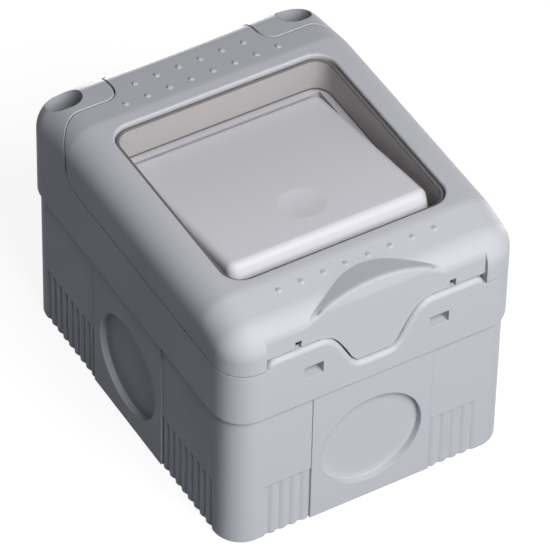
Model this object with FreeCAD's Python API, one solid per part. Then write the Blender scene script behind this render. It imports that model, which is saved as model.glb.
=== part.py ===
import FreeCAD, Part
import math
import os

V = FreeCAD.Vector
ORIGIN = V(0, 0, 0)
X_AXIS = V(1, 0, 0)
Y_AXIS = V(0, 1, 0)

# Outer form. The box lies on its back: +Y is the hinge side, +Z points away from the wall
BODY_W = 72.0
BODY_H = 90.4
BOX_DEPTH = 37.0
FRAME_DEPTH = 14.4
LID_DEPTH = 13.2
EDGE_R = 7.5
SHELL = 2.3
SEAM_GAP = 0.3
PARTING_Z = BOX_DEPTH
SEAM_Z = PARTING_Z + FRAME_DEPTH
TOP_Z = SEAM_Z + LID_DEPTH
FRONT_DROP = 1.4
BACK_DROP = 2.0
BACK_SLOPE_RUN = 11.7
HALF_W = BODY_W / 2
HALF_H = BODY_H / 2
CORE_X = HALF_W - EDGE_R
CORE_Y = HALF_H - EDGE_R
CORE_Z = TOP_Z - EDGE_R
REACH = BODY_W + BODY_H

# Lid window
SIDE_BORDER = 8.65
FRONT_BORDER = 14.7
BACK_BORDER = 21.7
WINDOW_R = 5.0
WINDOW_EDGE_R = 0.5
WINDOW_LAND = 1.0
WINDOW_W = BODY_W - 2 * SIDE_BORDER
WINDOW_H = BODY_H - FRONT_BORDER - BACK_BORDER
WINDOW_CY = (FRONT_BORDER - BACK_BORDER) / 2
WINDOW_FRONT_Y = WINDOW_CY - WINDOW_H / 2
WINDOW_BACK_Y = WINDOW_CY + WINDOW_H / 2
FRONT_BREAK_Y = WINDOW_FRONT_Y - WINDOW_EDGE_R - WINDOW_LAND
BACK_BREAK_Y = CORE_Y - BACK_SLOPE_RUN

# Back box
BOX_INSET = 0.6
PANEL_PROUD = 0.2
PANEL_W = 30.0
BOX_WALL = 2.6
BOX_FLOOR = 2.6
BOX_X = HALF_W - BOX_INSET - PANEL_PROUD
BOX_Y = HALF_H - BOX_INSET - PANEL_PROUD
BOX_R = EDGE_R - BOX_INSET - PANEL_PROUD
ENTRY_R = 12.5
ENTRY_Z = 17.2
ENTRY_DEPTH = 1.6
REAR_ENTRY_R = 10.0
RIB_PITCH = 2.65
RIB_R = 1.6
RIB_DEPTH = 0.38
RIB_TOP = 15.3
RIB_START = PANEL_W / 2 + RIB_PITCH / 2
FIX_HOLE_R = 2.25
FIX_EDGE_X = 14.0
FIX_EDGE_Y = 17.7
FIX_SPACING_X = BODY_W - 2 * FIX_EDGE_X
FIX_SPACING_Y = BODY_H - 2 * FIX_EDGE_Y
GASKET_W = 1.4
GASKET_T = 1.2

# Screws that hold the front frame on the back box
SCREW_EDGE_X = 7.0
SCREW_EDGE_BACK = 5.5
SCREW_EDGE_FRONT = 7.6
SCREW_X = HALF_W - SCREW_EDGE_X
SCREW_BACK_Y = HALF_H - SCREW_EDGE_BACK
SCREW_FRONT_Y = SCREW_EDGE_FRONT - HALF_H
SCREW_R = 1.5
SCREW_HEAD_R = 3.1
SCREW_HEAD_T = 2.2
SCREW_GRIP = 15.0
SCREW_PASS = 0.3
SCREW_SEAL_T = 0.8
POST_R = 3.9
EAR_BORE_R = 4.1

# Front frame
DECK_DROP = 5.0
DECK_T = 2.2
DECK_GAP = 0.6
DECK_Z = SEAM_Z - DECK_DROP
WALL_END = 9.3
WALL_W = BODY_W - 2 * WALL_END
WALL_CORNER_R = 2.2
WALL_TOP_Z = SEAM_Z + WALL_CORNER_R
WALL_EDGE_R = 1.1
WALL_SHOULDER = 1.6
NOTCH_DEPTH = 10.8
NOTCH_FLOOR_Z = WALL_TOP_Z - NOTCH_DEPTH
NOTCH_TOP_HALF = 14.1
NOTCH_FLOOR_HALF = 3.2
NOTCH_SHARES = (
    (0.0, 1.0),
    (0.21, 0.955),
    (0.35, 0.85),
    (0.45, 0.72),
    (0.66, 0.35),
    (0.81, 0.1),
    (0.91, 0.02),
    (1.0, 0.0),
)
POCKET_X = 15.5
POCKET_W = 4.6
POCKET_LIFT = 2.0
POCKET_HEIGHT = 3.2
POCKET_DEPTH = 3.6
POCKET_LOW = NOTCH_FLOOR_Z + POCKET_LIFT
POCKET_HIGH = POCKET_LOW + POCKET_HEIGHT
WELL_HALF = 8.0
WELL_DEPTH = 3.0
WELL_WALL = 1.4
FRAME_FOOT_R = 0.6
SET_BACK_Y = SHELL - HALF_H

# Hinge
HINGE_DEPTH = 5.5
HINGE_DROP = 8.7
HINGE_Y = HALF_H - HINGE_DEPTH
HINGE_Z = TOP_Z - HINGE_DROP
BARREL_R = 5.4
BARREL_GAP = 0.6
EAR_W = 17.5
TONGUE_HALF = HALF_W - EAR_W
TONGUE_GAP = 0.4
TONGUE_RELIEF = 0.7
RELIEF_SET = 2.0
PIN_R = 1.6
PIN_FIT = 0.06
PIN_LENGTH = 11.0
PIN_IN_EAR = 5.6
PIN_END_GAP = 0.6
EAR_R = 10.0
EAR_FLARE_R = 6.7
EAR_FLARE_RUN = 6.0
EAR_GAP = 0.4
EAR_CORNER_R = 3.2
SIDE_FILLET = 3.5
SIDE_FILLET_SET = 17.1
SIDE_FILLET_Y = HINGE_Y - SIDE_FILLET_SET

# Lid
TUCK_SET = 0.9
TUCK_R = 4.0
TUCK_OVER = 0.1
TUCK_Y = TUCK_SET - HALF_H
TUCK_AXIS_Y = TUCK_Y + TUCK_R
TUCK_REACH = EDGE_R - TUCK_R + TUCK_OVER
TUCK_LIFT = math.sqrt(TUCK_REACH ** 2 - (EDGE_R - TUCK_R - TUCK_SET) ** 2)
TUCK_AXIS_Z = CORE_Z - FRONT_DROP + TUCK_LIFT
TUCK_TOP_Z = TUCK_AXIS_Z + TUCK_R * TUCK_LIFT / TUCK_REACH
SKIRT_GAP = 0.45
SKIRT_DROP = 1.6
RAIL_T = 1.5
RAIL_GAP = 0.4
RAIL_HEIGHT = 4.0
RAIL_FRONT_SET = 9.2
RAIL_BACK_SET = 5.6
RAIL_FRONT_Y = RAIL_FRONT_SET - HALF_H
RAIL_BACK_Y = SIDE_FILLET_Y - RAIL_BACK_SET
TAB_GAP = 0.4
TAB_T = 1.8
CREST_HALF = 21.0
CREST_RISE = 0.35
CREST_R = 33.0
CREST_SLOPE = 0.19
CREST_RUN = 11.0
CREST_EDGE_R = 1.2
DOT_R = 0.95
DOT_TOP_R = 0.5
DOT_H = 0.45
DOT_ROOT = 0.4
DOT_SIDES = 8
DOT_PITCH = 5.46
DOT_FRONT_SET = 5.4
DOT_BACK_SET = 6.1
DOT_ROW_GAP = 5.7
DOT_FRONT_Y = WINDOW_FRONT_Y - DOT_FRONT_SET
DOT_BACK_Y = WINDOW_BACK_Y + DOT_BACK_SET
DOT_HINGE_Y = DOT_BACK_Y + DOT_ROW_GAP
LATCH_X = 19.0
LATCH_W = 1.5
LATCH_RISE = 2.2

# Window seal
SEAL_WALL = 0.8
SEAL_GAP = 0.2
SEAL_SINK = 0.9
SEAL_LIP_R = 0.35
SEAL_FLANGE = 3.8
SEAL_FLANGE_T = 1.3
SEAL_LIFT = 0.2

# Rocker and face plate
PLATE_RISE = 8.6
PLATE_T = 2.4
PLATE_Z = DECK_Z + PLATE_RISE
PLATE_LIP = 1.6
PLATE_R = 5.0
APRON_WALL = 2.9
APRON_R = 3.4
PIVOT_DROP = 3.5
PIVOT_Y = WINDOW_CY
PIVOT_Z = PLATE_Z - PIVOT_DROP
ROCKER_SIDE_GAP = 2.85
ROCKER_END_GAP = 2.6
ROCKER_W = WINDOW_W - 2 * ROCKER_SIDE_GAP
ROCKER_R = WINDOW_H / 2 - ROCKER_END_GAP
ROCKER_TOP = 8.1
ROCKER_SKIRT = 3.0
ROCKER_WALL = 2.2
ROCKER_EDGE_R = 2.0
ROCKER_CORNER_R = 2.4
ROCKER_TILT = 10.0
ROCKER_GAP = 0.4
ROCKER_PIN_R = 1.5
ROCKER_PIN_LENGTH = 4.8
RUNNING_FIT = 0.06
DIMPLE_R = 48.0
DIMPLE_DEPTH = 0.32
DIMPLE_OFFSET = -11.5
COLLAR_T = 1.3
COLLAR_GAP = 0.2
APRON_X = ROCKER_W / 2 + ROCKER_GAP + APRON_WALL
APRON_Y = ROCKER_R + ROCKER_GAP + APRON_WALL

# Switch insert
STRAP_T = 1.2
STRAP_LIFT = 3.0
STRAP_Z = PARTING_Z + STRAP_LIFT
STRAP_TOP = STRAP_Z + STRAP_T
STRAP_SIDE_GAP = 2.1
STRAP_W = 2 * (SCREW_X - POST_R - STRAP_SIDE_GAP)
STRAP_R = 4.0
STRAP_MARGIN = 3.4
STRAP_SCREW_R = 1.4
STRAP_SCREW_GRIP = 12.0
STRAP_HEAD_R = 2.7
STRAP_HEAD_T = 1.8
STRAP_HEAD_GAP = 0.6
STRAP_SCREW_SPAN = APRON_Y + STRAP_HEAD_GAP + STRAP_HEAD_R
STRAP_POST_R = 3.6
INSERT_DEPTH = 25.0
INSERT_LOW_Z = STRAP_Z - INSERT_DEPTH
INSERT_HALF = 22.0
INSERT_R = 3.0
NECK_HALF = 18.4
NECK_RISE = 1.0
NECK_GAP = 0.3
PIT_X = 6.5
PIT_Y = 15.6
PIT_FLOOR = 10.0
PIT_FLOOR_Z = INSERT_LOW_Z + PIT_FLOOR
LEG_R = 3.7
LEG_DROP = 7.6
PLUNGER_R = 2.4
PLUNGER_FIT = 0.08
PLUNGER_GRIP = 3.05
SPRING_WIRE = 0.55
SPRING_TURNS = 6
SPRING_STEPS = 10
BORE_ROOF = 3.4
ARM_DROP = 5.4
ARM_PIVOT_Z = STRAP_Z - ARM_DROP
ARM_HALF = 12.6
ARM_W = 5.0
ARM_T = 1.2
ARM_TILT = 8.0
ARM_RISE = 1.5
ARM_GAP = 0.15
TIP_R = 1.9
TIP_T = 1.2
TIP_EDGE = 0.4
TIP_GAP = 0.1
ARM_BEAD_R = 0.8
KNIFE_FIT = 0.05
KNIFE_HALF = 0.35
STRIP_W = 4.6
STRIP_T = 1.2
STRIP_COVER = 3.2
TERMINAL_LIFT = 6.0
TERMINAL_Z = INSERT_LOW_Z + TERMINAL_LIFT
TERMINAL_TAIL = 4.0
TERMINAL_SCREW_R = 1.4
TERMINAL_HEAD_R = 2.4
TERMINAL_HEAD_T = 1.8
TERMINAL_ROOM = 1.6
TERMINAL_SLOT_W = 0.6
TERMINAL_SLOT_DEPTH = 0.8
PLUNGER_END = ARM_PIVOT_Z + ARM_T + ARM_GAP - PIVOT_Z
PLUNGER_TOP = PLUNGER_GRIP - LEG_DROP


def box(x0, x1, y0, y1, z0, z1):
    return Part.makeBox(x1 - x0, y1 - y0, z1 - z0, V(x0, y0, z0))


def rounded_block(half_x, half_y, radius, z0, z1, cy=0.0):
    block = box(-half_x, half_x, cy - half_y, cy + half_y, z0, z1)
    upright = [e for e in block.Edges if abs(e.tangentAt(e.FirstParameter).z) > 0.99]
    return block.makeFillet(radius, upright)


def slab(z0, z1):
    return box(-REACH, REACH, -REACH, REACH, z0, z1)


def rod_x(radius, x0, x1, y, z):
    return Part.makeCylinder(radius, x1 - x0, V(x0, y, z), X_AXIS)


def prism_x(points, x0, x1):
    wire = Part.makePolygon([V(x0, y, z) for y, z in points] + [V(x0, *points[0])])
    return Part.Face(wire).extrude(V(x1 - x0, 0, 0))


def prism_y(edges, y0, y1):
    face = Part.Face(Part.Wire(Part.sortEdges(edges)[0]))
    face.translate(V(0, y0, 0))
    return face.extrude(V(0, y1 - y0, 0))


def both_sides(shape):
    return [shape, shape.mirror(ORIGIN, X_AXIS)]


def fuse(first, others):
    return first.fuse(list(others)).removeSplitter()


def skin(inset):
    """Rounded outer form of frame and lid, drawn in by inset."""
    points = (
        (-CORE_Y, 0.0),
        (-CORE_Y, CORE_Z - FRONT_DROP),
        (FRONT_BREAK_Y, CORE_Z),
        (BACK_BREAK_Y, CORE_Z),
        (CORE_Y, CORE_Z - BACK_DROP),
        (CORE_Y, 0.0),
    )
    core = prism_x(points, -CORE_X, CORE_X)
    grown = core.makeOffsetShape(EDGE_R - inset, 1e-3, join=0)
    return Part.Solid(grown.Shells[0]).common(slab(PARTING_Z, TOP_Z + EDGE_R))


def hinge_round(clearance, inner_x):
    """Right-hand body of revolution about the hinge axis that parts the lid from a rear ear."""
    flare_x = HALF_W - EAR_FLARE_RUN
    half_angle = math.asin(EAR_FLARE_RUN / EAR_FLARE_R) / 2
    end_r = EAR_R + EAR_FLARE_R * (1 - math.cos(2 * half_angle)) + clearance
    mid_r = EAR_R + EAR_FLARE_R * (1 - math.cos(half_angle)) + clearance
    base_r = EAR_R + clearance

    def at(x, radius):
        return V(x, HINGE_Y - radius, HINGE_Z)

    arc = Part.Arc(
        at(flare_x, base_r),
        at(flare_x + EAR_FLARE_R * math.sin(half_angle), mid_r),
        at(HALF_W, end_r),
    )
    outer_x = HALF_W + EDGE_R
    corner = EAR_CORNER_R + EAR_GAP / 2 + clearance
    turn = corner * (1 - math.sqrt(0.5))
    bend = Part.Arc(
        at(inner_x, base_r - corner),
        at(inner_x + turn, base_r - turn),
        at(inner_x + corner, base_r),
    )
    edges = [
        Part.makeLine(at(inner_x, 0), at(inner_x, base_r - corner)),
        bend.toShape(),
        Part.makeLine(at(inner_x + corner, base_r), at(flare_x, base_r)),
        arc.toShape(),
        Part.makeLine(at(HALF_W, end_r), at(outer_x, end_r)),
        Part.makeLine(at(outer_x, end_r), at(outer_x, 0)),
        Part.makeLine(at(outer_x, 0), at(inner_x, 0)),
    ]
    return Part.Face(Part.Wire(edges)).revolve(at(0, 0), X_AXIS, 360)


def side_wedge(clearance):
    """Rise of the side seam in front of an ear."""
    centre_z = SEAM_Z + SIDE_FILLET
    block = box(TONGUE_HALF, REACH, SIDE_FILLET_Y, HINGE_Y, DECK_Z, centre_z)
    return block.cut(rod_x(SIDE_FILLET - clearance, 0, REACH, SIDE_FILLET_Y, centre_z))


def notch_curve(shrink):
    """S-shaped edge of the notch in the frame's front wall, from right to left."""
    rise = WALL_TOP_Z - NOTCH_FLOOR_Z
    run = NOTCH_TOP_HALF - NOTCH_FLOOR_HALF
    right = [V(NOTCH_TOP_HALF - run * a - shrink, 0, NOTCH_FLOOR_Z + rise * b) for a, b in NOTCH_SHARES]
    left = [V(-p.x, 0, p.z) for p in reversed(right)]
    curve = Part.BSplineCurve()
    curve.interpolate(right + [V(0, 0, NOTCH_FLOOR_Z)] + left)
    return curve.toShape()


def notch_prism(shrink, y0, y1):
    curve = notch_curve(shrink)
    right, left = (v.Point for v in curve.Vertexes)
    high = TUCK_AXIS_Z
    edges = [
        curve,
        Part.makeLine(left, V(left.x, 0, high)),
        Part.makeLine(V(left.x, 0, high), V(right.x, 0, high)),
        Part.makeLine(V(right.x, 0, high), right),
    ]
    return prism_y(edges, y0, y1)


def screw_points():
    return [(sx * SCREW_X, y) for y in (SCREW_FRONT_Y, SCREW_BACK_Y) for sx in (-1, 1)]


def strap_points():
    return [PIVOT_Y - STRAP_SCREW_SPAN, PIVOT_Y + STRAP_SCREW_SPAN]


def gasket_ring():
    mid_x = BOX_X - BOX_WALL / 2
    mid_y = BOX_Y - BOX_WALL / 2
    mid_r = BOX_R - BOX_WALL / 2
    low = PARTING_Z - GASKET_T
    half = GASKET_W / 2
    outer = rounded_block(mid_x + half, mid_y + half, mid_r + half, low, PARTING_Z)
    return outer.cut(rounded_block(mid_x - half, mid_y - half, mid_r - half, low, PARTING_Z))


def rib_places(end):
    """Rib centres from the panel's edge up to a rounded corner."""
    count = int((end - RIB_START) / RIB_PITCH) + 1
    return [RIB_START + i * RIB_PITCH for i in range(count)]


def rib_bands():
    """Sunk bands beside the centre panels, each ending on its last rib."""
    end_x = rib_places(BOX_X - BOX_R)[-1]
    end_y = rib_places(BOX_Y - BOX_R)[-1]
    bands = []
    for s in (-1, 1):
        y0, y1 = sorted((s * (BOX_Y - RIB_DEPTH), s * HALF_H))
        x0, x1 = sorted((s * (BOX_X - RIB_DEPTH), s * HALF_W))
        bands.append(box(-end_x, end_x, y0, y1, 0, RIB_TOP))
        bands.append(box(x0, x1, -end_y, end_y, 0, RIB_TOP))
    return bands


def ribs():
    """Upright half-round grip ribs that fill the sunk bands."""
    spots = []
    for place in rib_places(BOX_X - BOX_R):
        spots.append((place, BOX_Y - RIB_R))
    for place in rib_places(BOX_Y - BOX_R):
        spots.append((BOX_X - RIB_R, place))
    rods = []
    for x, y in spots:
        for sx in (-1, 1):
            for sy in (-1, 1):
                rods.append(Part.makeCylinder(RIB_R, RIB_TOP, V(sx * x, sy * y, 0)))
    return rods


def back_box():
    panel_x = BOX_X + PANEL_PROUD
    panel_y = BOX_Y + PANEL_PROUD
    half = PANEL_W / 2
    shell = rounded_block(BOX_X, BOX_Y, BOX_R, 0, PARTING_Z).cut(rib_bands())
    panels = [
        box(-half, half, -panel_y, panel_y, 0, PARTING_Z),
        box(-panel_x, panel_x, -half, half, 0, PARTING_Z),
    ]
    shell = fuse(shell, panels + ribs())
    posts = [Part.makeCylinder(POST_R, PARTING_Z, V(x, y, 0)).common(shell) for x, y in screw_points()]
    posts += [Part.makeCylinder(STRAP_POST_R, STRAP_Z, V(0, y, 0)) for y in strap_points()]
    cavity = rounded_block(BOX_X - BOX_WALL, BOX_Y - BOX_WALL, BOX_R - BOX_WALL, BOX_FLOOR, PARTING_Z)
    shell = fuse(shell.cut(cavity), posts)
    cuts = [gasket_ring()]
    for x, y in screw_points():
        cuts.append(Part.makeCylinder(SCREW_R, SCREW_GRIP, V(x, y, PARTING_Z - SCREW_GRIP)))
    for y in strap_points():
        cuts.append(Part.makeCylinder(STRAP_SCREW_R, STRAP_SCREW_GRIP, V(0, y, STRAP_Z - STRAP_SCREW_GRIP)))
    for x in (-FIX_SPACING_X / 2, FIX_SPACING_X / 2):
        for y in (-FIX_SPACING_Y / 2, FIX_SPACING_Y / 2):
            cuts.append(Part.makeCylinder(FIX_HOLE_R, BOX_FLOOR, V(x, y, 0)))
    for s in (-1, 1):
        cuts.append(Part.makeCylinder(ENTRY_R, ENTRY_DEPTH, V(0, s * panel_y, ENTRY_Z), V(0, -s, 0)))
        cuts.append(Part.makeCylinder(ENTRY_R, ENTRY_DEPTH, V(s * panel_x, 0, ENTRY_Z), V(-s, 0, 0)))
    cuts.append(Part.makeCylinder(REAR_ENTRY_R, ENTRY_DEPTH, ORIGIN))
    return shell.cut(cuts)


def front_wall():
    """Raised front wall with its S-shaped notch and rounded rim."""
    low = NOTCH_FLOOR_Z - WALL_CORNER_R
    half = WALL_W / 2
    end_x = half + WALL_SHOULDER
    notch = notch_curve(0.0)
    right_top, left_top = (v.Point for v in notch.Vertexes)
    bulge = WALL_CORNER_R * math.sqrt(0.5)
    edges = [notch, Part.makeLine(V(-end_x, 0, low), V(end_x, 0, low))]
    for s, top in ((-1, left_top), (1, right_top)):
        centre = V(s * (half - WALL_CORNER_R), 0, SEAM_Z)
        upper = centre + V(0, 0, WALL_CORNER_R)
        edges.append(Part.Arc(V(s * half, 0, SEAM_Z), centre + V(s * bulge, 0, bulge), upper).toShape())
        edges.append(Part.makeLine(upper, top))
        edges.append(Part.makeLine(V(s * end_x, 0, SEAM_Z), V(s * half, 0, SEAM_Z)))
        edges.append(Part.makeLine(V(s * end_x, 0, low), V(s * end_x, 0, SEAM_Z)))
    plate = prism_y(edges, -HALF_H, SET_BACK_Y)
    rim = []
    for e in plate.Edges:
        on_face = e.BoundBox.YMax < -HALF_H + 1e-3
        if on_face and e.CenterOfMass.z > NOTCH_FLOOR_Z and abs(e.CenterOfMass.x) < half:
            rim.append(e)
    return plate.makeFillet(WALL_EDGE_R, rim)


def front_frame():
    outer = skin(0.0)
    inner = skin(SHELL)
    hollow = outer.cut(inner)
    ring = outer.common(slab(PARTING_Z, SEAM_Z))
    foot = [e for e in ring.Edges if e.BoundBox.ZMax < PARTING_Z + 1e-3]
    ring = ring.makeFillet(FRAME_FOOT_R, foot).cut(inner)
    wall_end = WALL_W / 2 + WALL_SHOULDER
    ring = ring.cut(box(-wall_end, wall_end, -REACH, SET_BACK_Y, NOTCH_FLOOR_Z - WALL_CORNER_R, TOP_Z))
    back_top = HINGE_Z - BARREL_R - BARREL_GAP
    ring = ring.cut(box(-TONGUE_HALF, TONGUE_HALF, HINGE_Y, REACH, back_top, TOP_Z))
    deck = inner.common(slab(DECK_Z - DECK_T, DECK_Z))
    mouth_x = APRON_X + DECK_GAP
    mouth_y = APRON_Y + DECK_GAP
    deck = deck.cut(rounded_block(mouth_x, mouth_y, APRON_R + DECK_GAP, 0, TOP_Z, PIVOT_Y))
    well_y = SET_BACK_Y + WELL_DEPTH
    well_z = NOTCH_FLOOR_Z - SEAM_GAP
    well_x = WELL_HALF + WELL_WALL
    well = box(-well_x, well_x, SET_BACK_Y, well_y + WELL_WALL, well_z - WELL_WALL, DECK_Z)
    ear = outer.common(hinge_round(-EAR_GAP / 2, TONGUE_HALF)).common(slab(DECK_Z - DECK_T, TOP_Z))
    ears = both_sides(ear) + both_sides(hollow.common(side_wedge(0.0)))
    bosses = [
        Part.makeCylinder(POST_R, DECK_Z - PARTING_Z, V(x, y, PARTING_Z)).common(ring.fuse(inner))
        for x, y in screw_points()
    ]
    frame = fuse(ring, [deck, front_wall(), well] + ears + bosses)
    cuts = [box(-WELL_HALF, WELL_HALF, SET_BACK_Y, well_y, well_z, DECK_Z)]
    for x, y in screw_points():
        cuts.append(Part.makeCylinder(SCREW_R + SCREW_PASS, DECK_Z, V(x, y, 0)))
        cuts.append(Part.makeCylinder(EAR_BORE_R, TOP_Z, V(x, y, DECK_Z)))
    pocket = prism_x(
        (
            (-HALF_H - POCKET_DEPTH, POCKET_LOW),
            (-HALF_H + POCKET_DEPTH, POCKET_LOW),
            (-HALF_H, POCKET_HIGH),
            (-HALF_H - POCKET_DEPTH, POCKET_HIGH),
        ),
        POCKET_X - POCKET_W / 2,
        POCKET_X + POCKET_W / 2,
    )
    cuts.extend(both_sides(pocket))
    pin_end = TONGUE_HALF + PIN_IN_EAR
    cuts.append(rod_x(PIN_R, -pin_end, pin_end, HINGE_Y, HINGE_Z))
    return frame.cut(cuts)


def hinge_pin():
    end = TONGUE_HALF + PIN_IN_EAR
    return rod_x(PIN_R, end - PIN_LENGTH, end, HINGE_Y, HINGE_Z)


def top_height(y):
    """Height of the lid's outer face on its centre line."""
    if y < FRONT_BREAK_Y:
        return TOP_Z - FRONT_DROP * (FRONT_BREAK_Y - y) / (FRONT_BREAK_Y + CORE_Y)
    return TOP_Z - BACK_DROP * (y - BACK_BREAK_Y) / BACK_SLOPE_RUN


def dot(x, y):
    """Small grip bump, facetted."""
    low = top_height(y) - DOT_ROOT
    angles = [2 * math.pi * i / DOT_SIDES for i in range(DOT_SIDES + 1)]
    rings = []
    for radius, z in ((DOT_R, low), (DOT_TOP_R, low + DOT_ROOT + DOT_H)):
        points = [V(x + radius * math.cos(a), y + radius * math.sin(a), z) for a in angles]
        rings.append(Part.makePolygon(points))
    return Part.makeLoft(rings, True, True)


def dots():
    spots = [((i - 3.5) * DOT_PITCH, y) for i in range(8) for y in (DOT_FRONT_Y, DOT_BACK_Y)]
    spots += [((i - 2.5) * DOT_PITCH, DOT_HINGE_Y) for i in range(6)]
    return [dot(x, y) for x, y in spots]


def thumb_crest():
    """Half-moon lip over the notch, its top sloping back into the lid."""
    z = TOP_Z + CREST_RISE
    axis_z = z - CREST_R * math.hypot(1, CREST_SLOPE)
    bar = Part.makeCylinder(CREST_R, 2 * CREST_RUN, V(0, TUCK_Y, axis_z), V(0, 1, -CREST_SLOPE))
    bar.translate(V(0, -CREST_RUN / 2, CREST_SLOPE * CREST_RUN / 2))
    crest = bar.common(box(-CREST_HALF, CREST_HALF, TUCK_Y, TUCK_Y + CREST_RUN, SEAM_Z, TOP_Z + EDGE_R))
    rim = []
    for e in crest.Edges:
        if e.BoundBox.YMax < TUCK_Y + 1e-3 and e.CenterOfMass.z > TOP_Z - CREST_R / 4:
            rim.append(e)
    return crest.makeFillet(CREST_EDGE_R, rim)


def window_block(inset, z0, z1):
    return rounded_block(WINDOW_W / 2 - inset, WINDOW_H / 2 - inset, WINDOW_R - inset, z0, z1, WINDOW_CY)


def lid():
    outer = skin(0.0)
    inner = skin(SHELL)
    skirt_y = SET_BACK_Y + SKIRT_GAP
    skirt_low = SEAM_Z - SKIRT_DROP
    wall_end = WALL_W / 2 + TAB_GAP
    shell = outer.cut(inner).common(slab(SEAM_Z + SEAM_GAP, TOP_Z + EDGE_R))
    liner_end = wall_end + SHELL
    liner = outer.common(box(-liner_end, liner_end, skirt_y, skirt_y + SHELL, skirt_low, TOP_Z))
    root_y = SET_BACK_Y - SHELL / 2
    root = outer.common(box(-liner_end, liner_end, root_y, skirt_y + SHELL / 2, WALL_TOP_Z, TOP_Z))
    shell = fuse(shell, [liner, root])
    crest = thumb_crest().cut(inner).common(slab(WALL_TOP_Z + SEAM_GAP, TOP_Z + EDGE_R))
    tuck = prism_x(
        (
            (-REACH, TUCK_AXIS_Z),
            (TUCK_Y, TUCK_AXIS_Z),
            (TUCK_Y, WALL_TOP_Z + SEAM_GAP),
            (skirt_y, WALL_TOP_Z + SEAM_GAP),
            (skirt_y, 0),
            (-REACH, 0),
        ),
        -wall_end,
        wall_end,
    )
    roll = box(-wall_end, wall_end, -REACH, TUCK_AXIS_Y, TUCK_AXIS_Z, TUCK_TOP_Z)
    roll = roll.cut(rod_x(TUCK_R, -wall_end, wall_end, TUCK_AXIS_Y, TUCK_AXIS_Z))
    tongue = TONGUE_HALF - TONGUE_GAP
    under_tongue = box(-tongue, tongue, HINGE_Y - BARREL_R / 2, REACH, 0, HINGE_Z)
    cuts = [tuck, roll, under_tongue, window_block(0.0, 0, TOP_Z)]
    cuts.extend(both_sides(hinge_round(EAR_GAP / 2, tongue)))
    cuts.extend(both_sides(box(tongue, REACH, HINGE_Y, REACH, 0, TOP_Z)))
    cuts.extend(both_sides(side_wedge(SEAM_GAP)))
    shell = shell.cut(cuts)
    rim = []
    for e in shell.Edges:
        b = e.BoundBox
        inside = b.XMin > -CORE_X and b.XMax < CORE_X and b.YMin > FRONT_BREAK_Y and b.YMax < BACK_BREAK_Y
        if inside and b.ZMin > TOP_Z - 1e-3:
            rim.append(e)
    shell = shell.makeFillet(WINDOW_EDGE_R, rim)
    barrel = rod_x(BARREL_R, -tongue, tongue, HINGE_Y, HINGE_Z)
    tab = notch_prism(TAB_GAP, TUCK_Y, SET_BACK_Y + TAB_T)
    tab = tab.common(slab(NOTCH_FLOOR_Z + TAB_GAP, TUCK_AXIS_Z))
    rail_x = HALF_W - SHELL - RAIL_GAP
    rail_top = skirt_low + RAIL_HEIGHT
    web_x = rail_x + SHELL / 2
    rail = box(rail_x - RAIL_T, rail_x, RAIL_FRONT_Y, RAIL_BACK_Y, skirt_low, rail_top)
    web = box(rail_x - RAIL_T, web_x, RAIL_FRONT_Y, RAIL_BACK_Y, SEAM_Z + SEAM_GAP, rail_top)
    shell = fuse(shell, [crest, barrel, tab] + both_sides(rail) + both_sides(web))
    depth = PIN_LENGTH - PIN_IN_EAR + PIN_END_GAP
    holes = both_sides(rod_x(PIN_R + PIN_FIT, TONGUE_HALF - depth, TONGUE_HALF, HINGE_Y, HINGE_Z))
    latch_half = LATCH_W / 2
    latch_top = WALL_TOP_Z + LATCH_RISE
    latch = box(LATCH_X - latch_half, LATCH_X + latch_half, -REACH, skirt_y + SHELL, 0, latch_top)
    holes.extend(both_sides(latch))
    relief_y = HINGE_Y + RELIEF_SET
    holes.extend(both_sides(box(tongue - TONGUE_RELIEF, tongue, relief_y, REACH, SEAM_Z, TOP_Z)))
    return fuse(shell.cut(holes), dots())


def window_seal():
    """Soft sleeve that lines the window, with a flange under the lid."""
    under = TOP_Z - SHELL
    top = TOP_Z - SEAL_SINK
    low = PLATE_Z + SEAL_LIFT
    wall = window_block(SEAL_GAP, low, top)
    flange = window_block(SEAL_GAP - SEAL_FLANGE, under - SEAL_FLANGE_T, under).common(skin(SHELL))
    sleeve = fuse(wall, [flange]).cut(window_block(SEAL_GAP + SEAL_WALL, low, top))
    lip = [e for e in sleeve.Edges if e.BoundBox.ZMin > top - 1e-3]
    return sleeve.makeFillet(SEAL_LIP_R, lip)


def rocker_opening(z0, z1):
    half_x = ROCKER_W / 2 + ROCKER_GAP
    half_y = ROCKER_R + ROCKER_GAP
    return rounded_block(half_x, half_y, ROCKER_GAP, z0, z1, PIVOT_Y)


def face_plate():
    under = PLATE_Z - PLATE_T
    flange = rounded_block(APRON_X + PLATE_LIP, APRON_Y + PLATE_LIP, PLATE_R, under, PLATE_Z, PIVOT_Y)
    apron = rounded_block(APRON_X, APRON_Y, APRON_R, STRAP_TOP, under, PIVOT_Y)
    plate = fuse(flange, [apron]).cut(rocker_opening(STRAP_TOP, PLATE_Z))
    return plate.cut([pin.copy() for pin in rocker_pins().Solids])


def plate_collar():
    inner_x = APRON_X + COLLAR_GAP
    inner_y = APRON_Y + COLLAR_GAP
    inner_r = APRON_R + COLLAR_GAP
    top = PLATE_Z - PLATE_T
    outer = rounded_block(inner_x + COLLAR_T, inner_y + COLLAR_T, inner_r + COLLAR_T, DECK_Z, top, PIVOT_Y)
    return outer.cut(rounded_block(inner_x, inner_y, inner_r, DECK_Z, top, PIVOT_Y))


def tilt_rocker(shape):
    """Moves a shape drawn about the rocker's axis to the stored position, front end raised."""
    shape.translate(V(0, PIVOT_Y, PIVOT_Z))
    shape.rotate(V(0, PIVOT_Y, PIVOT_Z), X_AXIS, -ROCKER_TILT)
    return shape


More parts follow.
